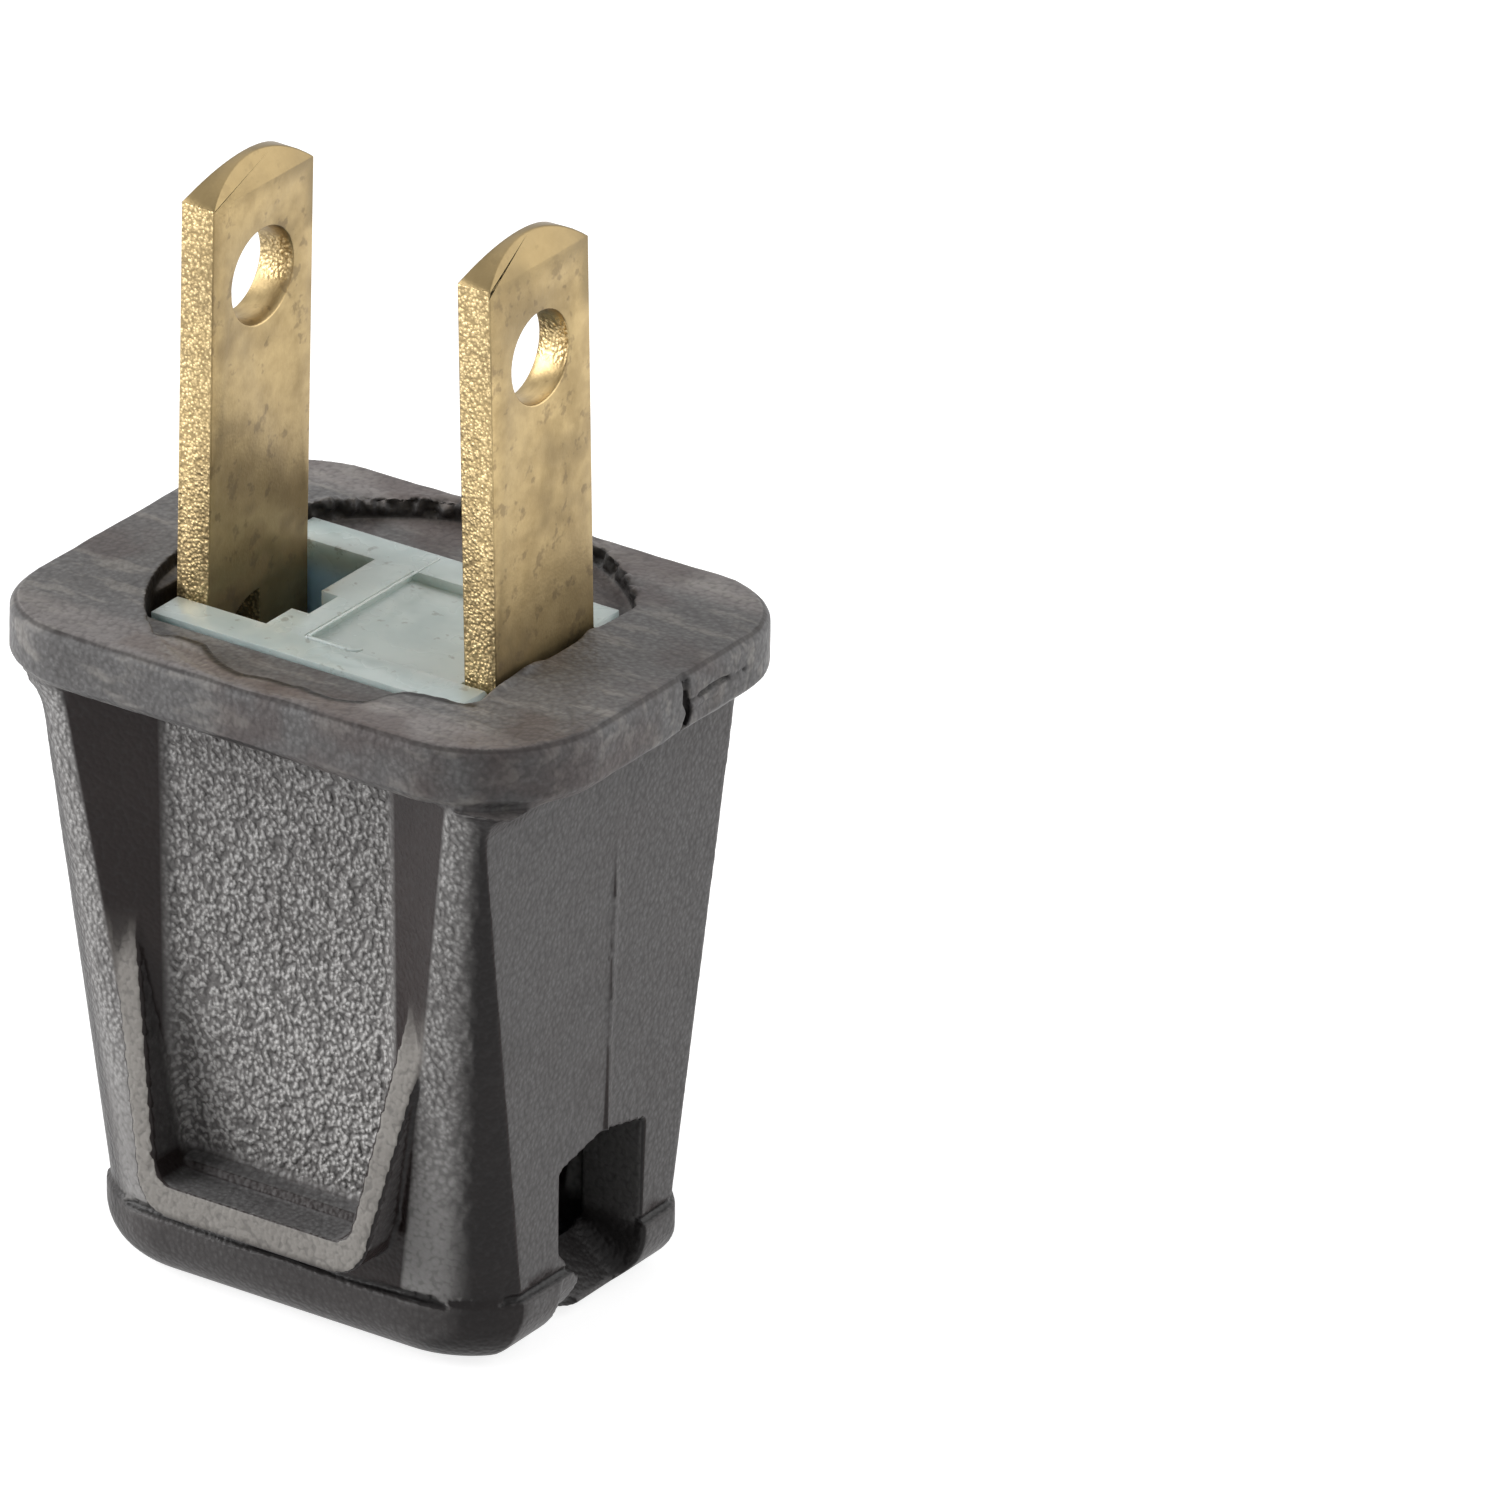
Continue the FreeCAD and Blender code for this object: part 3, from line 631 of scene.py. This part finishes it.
# Painted light: deep in the slots the colour is painted bluer and lighter, standing in for light
# that has passed through the nylon.
slot_painted_light = times(tree, between(tree, at["Z"], 26.6, 25.4), between_rails,
                between(tree, at["Z"], 20, 23, 0.2, 1.0))
milky, cloudy = (0.5, 0.58, 0.565, 1), (0.4, 0.48, 0.475, 1)
colour = blend_colours(tree, clouds, milky, cloudy)
colour = paint_over(tree, colour, [(dirt, 0.45, (0.12, 0.11, 0.09)),
                                   # painted light deep in the slots
                                   (slot_painted_light, 1.0, (0.46, 0.7, 0.86))])
tree.links.new(colour, shader.inputs["Base Color"])
tree.links.new(ramp(tree, clouds, 0.0, 1.0, 0.24, 0.4), shader.inputs["Roughness"])
shader.inputs["Subsurface Weight"].default_value = 0.45
shader.inputs["Subsurface Radius"].default_value = (0.8, 1.0, 1.0)
shader.inputs["Subsurface Scale"].default_value = 1.8 * mm
soft = use_group(tree, grain, {"Place": place, "Scale": 3000.0})
bump = add_node(tree, "ShaderNodeBump", {"Height": soft.outputs["Height"], "Strength": 0.15,
                                         "Distance": 0.03 * mm})
tree.links.new(bump.outputs[0], shader.inputs["Normal"])
print("nylon finish has", len(tree.nodes), "nodes")

# %% [markdown]
# ## Working copies of the CAD parts
# A part that comes from CAD is made of loose triangles with perfectly sharp
# edges. Real stampings and mouldings have edges a few hundredths of a
# millimetre round, and those edges are what catches the light. So each part
# is copied, its triangles are sewn together and flat areas are dissolved,
# and a bevel rounds what is left. The CAD part is hidden by its copy.

# %% Helpers for copies
def pick(piece):
    bpy.ops.object.select_all(action="DESELECT")
    piece.select_set(True)
    bpy.context.view_layer.objects.active = piece


def sewn_copy(node, name):
    original = frame["nodes"][node]
    piece = original.copy()
    piece.data = original.data.copy()
    piece.name = name
    piece.data.name = name
    piece.parent = None
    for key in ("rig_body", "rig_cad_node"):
        if key in piece:
            del piece[key]
    bpy.context.scene.collection.objects.link(piece)
    pick(piece)
    bpy.ops.object.mode_set(mode="EDIT")
    bpy.ops.mesh.select_all(action="SELECT")
    bpy.ops.mesh.customdata_custom_splitnormals_clear()
    bpy.ops.mesh.remove_doubles(threshold=0.002 * mm)
    bpy.ops.object.mode_set(mode="OBJECT")
    return piece


def run_modifier(piece, kind, **settings):
    pick(piece)
    modifier = piece.modifiers.new(kind.lower(), kind)
    for name, value in settings.items():
        setattr(modifier, name, value)
    bpy.ops.object.modifier_apply(modifier=modifier.name)


def finish_piece(piece, material, node):
    piece.data.materials.clear()
    piece.data.materials.append(material)
    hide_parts(node)
    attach(piece, node)
    piece.data.calc_loop_triangles()
    print(piece.name, "has", len(piece.data.loop_triangles), "triangles")


print("copy helpers are ready")

# %% Rounded blades
sharp_angle, flat_angle, smooth_angle = [math.radians(a) for a in (35, 0.5, 32)]


def rounded_copy(node, name, width, segments):
    """A sewn copy whose sharp edges are rounded over a width."""
    piece = sewn_copy(node, name)
    bpy.ops.object.mode_set(mode="EDIT")
    bpy.ops.mesh.select_all(action="SELECT")
    bpy.ops.mesh.dissolve_limited(angle_limit=flat_angle)
    bpy.ops.object.mode_set(mode="OBJECT")
    run_modifier(piece, "BEVEL", width=width, segments=segments, limit_method="ANGLE",
                 angle_limit=sharp_angle, harden_normals=False)
    pick(piece)
    bpy.ops.object.shade_smooth_by_angle(angle=smooth_angle)
    return piece


blade_rounding, core_rounding = 0.07 * mm, 0.06 * mm
for side in ("left", "right"):
    blade = rounded_copy(side + "_blade", side + "_brass_blade", blade_rounding, 3)
    finish_piece(blade, brass_finish, side + "_blade")

# %% [markdown]
# ## The core and its raised lines
# The plate of the core carries two hair-thin raised lines, left where parts
# of the mould met. A box would be too straight and too sharp for them, so
# each is a curve through a few points, given a round section and turned into
# a mesh. The lines are joined to the rounded copy of the core.

# %% Core
def thin_bead(name, points, thickness):
    """A thin bead of plastic along points, in millimetres, each with its own thickness."""
    curve = bpy.data.curves.new(name, "CURVE")
    curve.dimensions = "3D"
    curve.bevel_depth = thickness * mm
    curve.bevel_resolution = 2
    curve.use_fill_caps = True
    line = curve.splines.new("NURBS")
    line.points.add(len(points) - 1)
    for spot, (x, y, z, share) in zip(line.points, points):
        spot.co = (x * mm, y * mm, z * mm, 1)
        spot.radius = share
    line.order_u = 3
    line.use_endpoint_u = True
    bead = bpy.data.objects.new(name, curve)
    bpy.context.scene.collection.objects.link(bead)
    pick(bead)
    bpy.ops.object.convert(target="MESH")
    return bpy.context.object


carrier = rounded_copy("core", "nylon_core", core_rounding, 2)
edge_x, edge_y, line_end = -0.73, -4.3, 1.59
line_z = face_z / mm - 0.01
raised = [
    thin_bead("raised_line", [(edge_x, edge_y, line_z, 1), (0.4, edge_y, line_z, 1),
                              (line_end, edge_y, line_z, 1),
                              (line_end, edge_y + 0.3, line_z, 0.8)], 0.07),
    thin_bead("raised_edge", [(edge_x, edge_y, line_z, 1), (edge_x, 0, line_z, 0.8),
                              (edge_x, 4.2, line_z, 1)], 0.06),
]
pick(carrier)
for line in raised:
    line.select_set(True)
bpy.ops.object.join()
finish_piece(carrier, nylon_finish, "core")

# %% [markdown]
# ## The casing's skin
# The casing is soft plastic from a worn mould, with thin flash where the two
# halves met and round the mouth. Rather than beveling, the sewn copy and its
# flash are melted into one skin: a voxel remesh rebuilds the surface with
# evenly small faces, which rounds every edge a little, as the real one is.
# The lip of flash at the mouth is a flat plate with a ragged outline, and the
# flash along the parting lines is the same kind of thin bead as above.

# %% Flat plates
def flat_plate(name, outline, low, high, turned=False):
    """A plate whose outline is a list of places in millimetres; turned, it faces along X."""
    curve = bpy.data.curves.new(name, "CURVE")
    curve.dimensions = "2D"
    curve.fill_mode = "BOTH"
    curve.extrude = (high - low) / 2 * mm
    line = curve.splines.new("POLY")
    line.points.add(len(outline) - 1)
    for spot, (x, y) in zip(line.points, outline):
        spot.co = (x * mm, y * mm, 0, 1)
    line.use_cyclic_u = True
    plate = bpy.data.objects.new(name, curve)
    if turned:
        plate.rotation_euler = (math.pi / 2, 0, math.pi / 2)
        plate.location.x = (high + low) / 2 * mm
    else:
        plate.location.z = (high + low) / 2 * mm
    bpy.context.scene.collection.objects.link(plate)
    pick(plate)
    bpy.ops.object.convert(target="MESH")
    bpy.ops.object.transform_apply(location=True, rotation=True, scale=True)
    return bpy.context.object


print("plates can be cut from any outline")

# %% Strips of flash
face = face_z / mm
mouth_radius = 9.3
lip_edge = [(-5.5, -7.1), (-4.9, -6.8), (-4.35, -6.75), (-3.5, -6.85), (-2.9, -7.3), (-2.2, -7.7),
            (-1.6, -7.95), (-0.95, -8.1), (-0.3, -7.9), (0.3, -7.78), (1.0, -7.8), (1.6, -7.68),
            (2.4, -7.8), (3.1, -7.82), (3.7, -7.6), (4.1, -7.35), (4.35, -6.8), (4.5, -6.3),
            (4.9, -5.8), (5.5, -5.6), (6.4, -5.45), (7.75, -5.3)]
first_angle, angle_step, arc_points = -34, -7.7, 13
arc = []
for step in range(arc_points):
    turn_to = math.radians(first_angle + step * angle_step)
    arc.append((mouth_radius * math.cos(turn_to), mouth_radius * math.sin(turn_to)))
lip_bottom, lip_top = face - 0.7, face - 0.05
lip = flat_plate("mouth_lip", lip_edge + arc, lip_bottom, lip_top)
beads = [
    thin_bead("side_flash", [(7.78, -4.9, face - 0.1, 0.8), (7.72, -3.2, face - 0.05, 1.3),
                             (7.6, -2.6, face - 0.12, 0.9), (7.66, -1.9, face - 0.06, 1.4),
                             (7.56, -1.2, face - 0.1, 1.0), (7.7, -0.4, face - 0.16, 0.5),
                             (7.72, 1.2, face - 0.16, 0.5), (7.6, 2.3, face - 0.1, 1.1),
                             (7.66, 2.9, face - 0.14, 0.7), (7.75, 4.4, face - 0.16, 0.4)], 0.17),
    thin_bead("parting_flash", [(10.13, 0.6, 25.0, 1), (10.06, 0.55, 21, 0.8),
                                (9.95, 0.5, 16, 1.1), (9.83, 0.45, 11, 0.7),
                                (9.76, 0.4, 7.9, 1)], 0.14),
    thin_bead("parting_flash_left", [(-10.13, 0.3, 24.4, 1), (-9.95, 0.3, 16, 0.8),
                                     (-9.66, 0.3, 3.2, 1)], 0.14),
]
print("flash:", lip.name, [bead.name for bead in beads])

# %% [markdown]
# ### A torn place in the flange
# The flange has a jagged crack on the side of the cord window, and the moulding
# beside it has thin steps along its length. They are cut out of the sewn copy
# with plates of the same outlines, before the skin is melted together: a
# boolean cut leaves crisp walls, which the remesh then softens a little. Two
# more plates trim thin spurs that the model has under two of the corners.

# %% Cutters for the crack, the steps and the spurs
past_side = 13.2
crack_outline = [(1.08, 27.25), (1.0, 26.4), (1.25, 25.95), (0.88, 25.35), (0.42, 25.1),
                 (0.5, 24.85), (0.9, 24.3), (1.3, 24.5), (1.34, 25.05), (1.2, 25.4),
                 (1.58, 25.9), (1.34, 26.4), (1.36, 27.25)]
step_outlines = [
    ("step_upper", 12.66, [(1.3, 26.72), (3.4, 26.76), (4.6, 26.7), (4.7, 26.88),
                           (3.0, 26.92), (1.3, 26.9)]),
    ("step_middle", 12.58, [(1.3, 26.2), (3.2, 26.3), (5.3, 26.16), (5.3, 26.36),
                            (3.3, 26.5), (1.3, 26.42)]),
    ("step_lower", 12.64, [(1.3, 25.7), (2.9, 25.78), (4.3, 25.72), (4.2, 25.9),
                           (2.6, 25.98), (1.3, 25.94)]),
]
crack = flat_plate("crack", crack_outline, 12.1, past_side, turned=True)
steps = [flat_plate(name, outline, start_x, past_side, turned=True)
         for name, start_x, outline in step_outlines]

corner_x, corner_y, corner_radius = 8.7, 5.42, 3.6
spur_bottom, spur_top = 23.9, 24.9
wedge = [(corner_x + corner_radius * math.cos(math.radians(angle)),
          corner_y + corner_radius * math.sin(math.radians(angle))) for angle in range(0, 91, 6)]
far_out = 15
wedge += [(corner_x, 12), (far_out, 12), (far_out, corner_y)]
wedges = [flat_plate("wedge_back", wedge, spur_bottom, spur_top),
          flat_plate("wedge_front", [(-x, -y) for x, y in wedge], spur_bottom, spur_top)]
print("cutters:", crack.name, [cutter.name for cutter in steps + wedges])

# %% [markdown]
# ### Melt the skin together
# The pieces are joined, remeshed and relaxed a little. A voxel of an eighth of
# a millimetre keeps the rims sharp enough and still closes every gap.

# %% Remesh
voxel = 0.125 * mm
skin = sewn_copy("casing", "casing_skin")
for cutter in [crack] + steps + wedges:
    run_modifier(skin, "BOOLEAN", operation="DIFFERENCE", object=cutter, solver="EXACT")
    bpy.data.objects.remove(cutter)
pick(skin)
for part in [lip] + beads:
    part.select_set(True)
bpy.ops.object.join()
run_modifier(skin, "REMESH", mode="VOXEL", voxel_size=voxel, use_smooth_shade=True)
relax_share = 0.4
run_modifier(skin, "SMOOTH", factor=relax_share, iterations=1)
print("skin after remesh:", len(skin.data.polygons), "faces")

# %% [markdown]
# ### Roughen it for real
# A bump only changes the light, so the larger unevenness is moved for real.
# The floors of the scoops, the bands beside them, the worn flange and the
# torn far edge of the mouth each become a group of points, and a cloud
# texture pushes the group in and out. A bump would have left their outlines
# straight, and sculpting would be hard to repeat.

# %% Groups of points
def region(piece, name, test):
    group = piece.vertex_groups.new(name=name)
    for vertex in piece.data.vertices:
        share = test(vertex.co / mm, vertex.normal)
        if share > 0:
            group.add([vertex.index], share, "REPLACE")
    return group.name


def scoop_share(p, n):
    """The floors of the two scoops, told by the way they face."""
    if 5.8 < p.z < 24.6 and abs(n.y) > 0.9 and abs(p.x) < 5.0 and abs(p.y) > 6:
        return 1.0
    return 0.0


def band_share(p, n):
    """The rounded bands beside the scoops, moved less than the floors."""
    outside = 5.9 < p.z < 24.4 and abs(p.y) > 6.5
    return 0.6 if outside and 0.55 < abs(n.y) < 0.93 and n.x * p.x > 0 else 0.0


def lump_share(p, n):
    """The flange, but not its outermost faces, so that it keeps its size."""
    on_flange = p.z > 23.5 and math.hypot(p.x, p.y) > 8.6
    return 1.0 if on_flange and abs(p.x) < 12.6 and abs(p.y) < 9.3 else 0.0


def ragged_share(p, n):
    """The far edge of the mouth, where the flash has torn."""
    edge_radius, reach = 9.2, 0.5
    near = 1 - abs(math.hypot(p.x, p.y) - edge_radius) / reach
    return max(0.0, near) if p.z > 26.9 and 2.0 < p.y < 9.4 and p.x < 7.3 else 0.0


print("regions are ready")

# %% Clouds that push the points
def cloud_texture(name, size, depth):
    texture = bpy.data.textures.new(name, "CLOUDS")
    texture.noise_scale = size
    texture.noise_depth = depth
    return texture


pebble = cloud_texture("pebble", 0.42 * mm, 1)
wave = cloud_texture("wave", 2.4 * mm, 2)
tear = cloud_texture("tear", 0.6 * mm, 2)
for name, test, texture, strength in (("scoop", scoop_share, pebble, 0.16 * mm),
                                      ("band", band_share, pebble, 0.05 * mm),
                                      ("lumps", lump_share, wave, 0.1 * mm),
                                      ("ragged", ragged_share, tear, 1.0 * mm)):
    group_name = region(skin, name, test)
    run_modifier(skin, "DISPLACE", texture=texture, texture_coords="LOCAL", mid_level=0.5,
                 strength=strength, vertex_group=group_name)
    print(name, "moved by up to", round(strength / 2 / mm, 3), "mm")

# %% [markdown]
# ### Creases
# Thin dark lines cross the casing: the torn edge of the lip at the mouth, the
# crack through the flange, a groove beside it, and the seam above the end
# cap. The first three are lines of points, and the seam is a height that
# waves a little. Near a line the skin is pushed in, and the nearness is also
# stored as an attribute, through which the finish paints dirt and painted
# shade into the line. Painting the lines on the smooth skin alone would leave
# them without a shadow of their own.

# %% How near a point is to a line
def nearness(points, line, width):
    """1 on the line, 0 at its width and beyond, for every point."""
    best = np.full(len(points), 1e9)
    for a, b in zip(line[:-1], line[1:]):
        a, b = np.array(a, float), np.array(b, float)
        along = np.clip(((points - a) @ (b - a)) / ((b - a) @ (b - a)), 0, 1)
        best = np.minimum(best, np.linalg.norm(points - a - along[:, None] * (b - a), axis=1))
    return np.clip(1.4 * (1 - best / width), 0, 1)


def places(piece):
    found = np.empty(len(piece.data.vertices) * 3)
    piece.data.vertices.foreach_get("co", found)
    return found.reshape(-1, 3) / mm


print("lines can be measured")

# %% Press in the creases
# Each line comes with the half width of its groove and its share of the depth.
creases = [
    ([(x, y - 0.22, lip_top) for x, y in lip_edge], 0.3, 0.15),
    ([(12.6, 1.2, 27.2), (12.5, 1.2, 26.4), (12.5, 1.42, 25.9), (12.5, 1.05, 25.35),
      (12.5, 0.85, 24.9), (12.3, 1.0, 24.5)], 0.34, 1.0),
    ([(12.7, 1.4, 26.3), (12.66, 3.2, 26.4), (12.66, 5.0, 26.26)], 0.17, 1.0),
]
spots = places(skin)
outside = (np.abs(spots[:, 0]) > 9.2) | (np.abs(spots[:, 1]) > 6.9)
seam_z, seam_swing, seam_width, seam_depth = 2.92, 0.06, 0.2, 0.7
seam_wave = seam_z + seam_swing * np.sin(spots[:, 0] * 1.1 + spots[:, 1] * 0.7)
share = np.clip(1.5 * (1 - np.abs(spots[:, 2] - seam_wave) / seam_width), 0, 1) * outside
depth = share * seam_depth
for line, width, deep_share in creases:
    near = nearness(spots, line, width)
    share = np.maximum(share, near)
    depth = np.maximum(depth, near * deep_share)
group = skin.vertex_groups.new(name="creases")
for index in np.nonzero(depth)[0]:
    group.add([int(index)], float(depth[index]), "REPLACE")
crease_depth = 0.18 * mm
run_modifier(skin, "DISPLACE", mid_level=0.0, strength=-crease_depth, vertex_group="creases")
# Dirt and painted shade along the creases.
crease_dirt_and_shade = skin.data.attributes.new("crease_dirt_and_shade", "FLOAT", "POINT")
crease_dirt_and_shade.data.foreach_set("value", share)
print("points in creases:", int((share > 0).sum()), "of", len(share))

# %% [markdown]
# ### Fewer faces
# The even skin has far more faces than its flat places need. A decimate
# merges them where the shape allows and spares the creases, whose narrow
# grooves and dirt need every point. Then the skin is shaded smooth and takes
# the place of the CAD part. Starting from larger voxels would be lighter
# still, but would lose the rim and the crack.

# %% Hand the skin over
kept_faces = 0.3
run_modifier(skin, "DECIMATE", ratio=kept_faces, vertex_group="creases",
             invert_vertex_group=True, vertex_group_factor=1.0)
pick(skin)
bpy.ops.object.shade_smooth()
finish_piece(skin, casing_finish, "casing")
